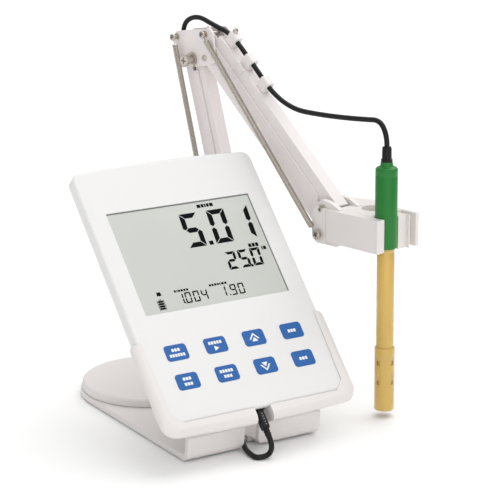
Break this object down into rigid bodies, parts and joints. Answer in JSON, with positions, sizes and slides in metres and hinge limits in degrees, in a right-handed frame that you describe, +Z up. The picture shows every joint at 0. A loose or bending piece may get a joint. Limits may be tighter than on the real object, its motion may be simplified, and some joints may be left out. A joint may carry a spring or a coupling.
{
  "type": "benchtop meter with electrode arm",
  "caption": "Tablet pH and conductivity meter docked in a sloping cradle, with a swivelling spring-balanced two-link electrode arm holding a probe on its cable.",
  "frame": {"origin": "on the table under the axis of the swivel disc, at the centre of the rest pad's underside", "axes": "+Z up, the meter's screen faces -Y, and the arm stands on the +X side"},
  "size_m": [0.2099, 0.2315, 0.259],
  "materials": {
    "meter_white": "gloss",
    "cradle_white": "satin",
    "arm_white": "satin powder coat",
    "holder_white": "satin",
    "key_blue": "satin",
    "lcd_grey": "gloss",
    "board_green": "satin",
    "steel": "nickel plated",
    "black_rubber": "satin",
    "probe_green": "satin",
    "probe_yellow": "translucent",
    "black_plastic": "satin",
    "cell_grey": "matte"
  },
  "bodies": {
    "dock": {"meter_front_shell": "meter_white", "meter_rear_shell": "meter_white", "lcd_window": "lcd_grey", "lcd_module": "lcd_grey", "key_inlays": "key_blue", "touch_key_sheet": "board_green", "main_circuit_board": "board_green", "battery_pack": "cell_grey", "probe_jack_socket": "black_plastic", "meter_ports": "steel", "meter_screws": "steel", "charge_contacts": "steel", "meter_tray": "cradle_white", "cradle_base": "cradle_white", "tray_screws": "steel", "rest_pad": "black_rubber", "rubber_feet": "black_rubber", "ballast_plate": "steel", "power_inlet": "black_plastic", "swivel_pin": "steel", "cable_plug": "black_plastic", "plug_strain_relief": "black_rubber", "cable_base_span": "black_rubber"},
    "button": {"power_button": "meter_white"},
    "swivel": {"swivel_plate": "cradle_white", "outrigger_foot": "black_rubber", "post_bush": "black_plastic", "cable_disc_span": "black_rubber"},
    "post": {"shoulder_bracket": "arm_white", "shoulder_pins": "steel", "shoulder_spring_post": "steel", "cable_foot_span": "black_rubber"},
    "lower_rear": {"lower_arm_rear_channel": "arm_white", "lower_arm_spring": "steel", "cable_lower_span": "black_rubber"},
    "lower_front": {"lower_arm_front_channel": "arm_white"},
    "elbow": {"elbow_plate_near": "arm_white", "elbow_plate_far": "arm_white", "elbow_pins": "steel", "elbow_spring_posts": "steel", "cable_elbow_span": "black_rubber"},
    "knob": {"elbow_knob": "steel"},
    "upper_top": {"upper_arm_upper_channel": "arm_white", "cable_clips": "holder_white", "upper_arm_spring": "steel", "cable_upper_span": "black_rubber"},
    "upper_low": {"upper_arm_lower_channel": "arm_white"},
    "holder": {"electrode_holder": "holder_white", "holder_pivot_screws": "steel", "holder_top_screw": "steel", "cable_droop_span": "black_rubber"},
    "probe": {"probe_cap": "probe_green", "probe_tube": "probe_yellow", "probe_sleeve": "probe_yellow", "probe_stem": "probe_yellow", "probe_rings": "steel", "probe_strain_relief": "black_rubber", "cable_probe_loop": "black_rubber"}
  },
  "joints": [
    {"name": "power_press", "type": "slide", "parent": "dock", "child": "button", "axis": [0, -0.682, -0.7314], "range_m": [0, 0.0005], "stiffness_N_per_m": 400},
    {"name": "disc_swivel", "type": "hinge", "parent": "dock", "child": "swivel", "pos_m": [0, 0, 0.005], "axis": [0, 0, 1], "range_deg": [-3, 90], "deforming": ["cable_base_span", "cable_disc_span"]},
    {"name": "post_turn", "type": "hinge", "parent": "swivel", "child": "post", "pos_m": [0.0834, -0.0051, 0.012], "axis": [0, 0, 1], "range_deg": [-3, 70], "deforming": ["cable_foot_span"]},
    {"name": "lower_arm_tilt", "type": "hinge", "parent": "post", "child": "lower_rear", "pos_m": [0.08259, -0.0014, 0.03135], "axis": [0.9781, 0.2079, 0], "range_deg": [-20, 25], "deforming": ["lower_arm_spring", "cable_lower_span", "cable_elbow_span"]},
    {"name": "lower_front_follow", "type": "hinge", "parent": "post", "child": "lower_front", "pos_m": [0.08417, -0.00884, 0.03265], "axis": [0.9781, 0.2079, 0], "range_deg": [-20, 25]},
    {"name": "elbow_level", "type": "hinge", "parent": "lower_rear", "child": "elbow", "pos_m": [0.07059, 0.05504, 0.2265], "axis": [0.9781, 0.2079, 0], "range_deg": [-25, 20]},
    {"name": "knob_turn", "type": "hinge", "parent": "elbow", "child": "knob", "pos_m": [0.07217, 0.0476, 0.2278], "axis": [0.9781, 0.2079, 0], "continuous": true},
    {"name": "upper_arm_tilt", "type": "hinge", "parent": "elbow", "child": "upper_top", "pos_m": [0.07502, 0.0342, 0.24745], "axis": [0.9781, 0.2079, 0], "range_deg": [-30, 15], "deforming": ["upper_arm_spring", "cable_upper_span", "cable_droop_span"]},
    {"name": "upper_low_follow", "type": "hinge", "parent": "elbow", "child": "upper_low", "pos_m": [0.07481, 0.03518, 0.2302], "axis": [0.9781, 0.2079, 0], "range_deg": [-30, 15]},
    {"name": "holder_level", "type": "hinge", "parent": "upper_top", "child": "holder", "pos_m": [0.1001, -0.08376, 0.1404], "axis": [0.9781, 0.2079, 0], "range_deg": [-15, 30]},
    {"name": "probe_slide", "type": "slide", "parent": "holder", "child": "probe", "axis": [0, 0, 1], "range_m": [-0.003, 0.015], "deforming": ["cable_probe_loop"]}
  ],
  "couplings": [
    {"joint": "lower_front_follow", "follows": "lower_arm_tilt", "ratio": 1},
    {"joint": "elbow_level", "follows": "lower_arm_tilt", "ratio": -1},
    {"joint": "upper_low_follow", "follows": "upper_arm_tilt", "ratio": 1},
    {"joint": "holder_level", "follows": "upper_arm_tilt", "ratio": -1}
  ]
}
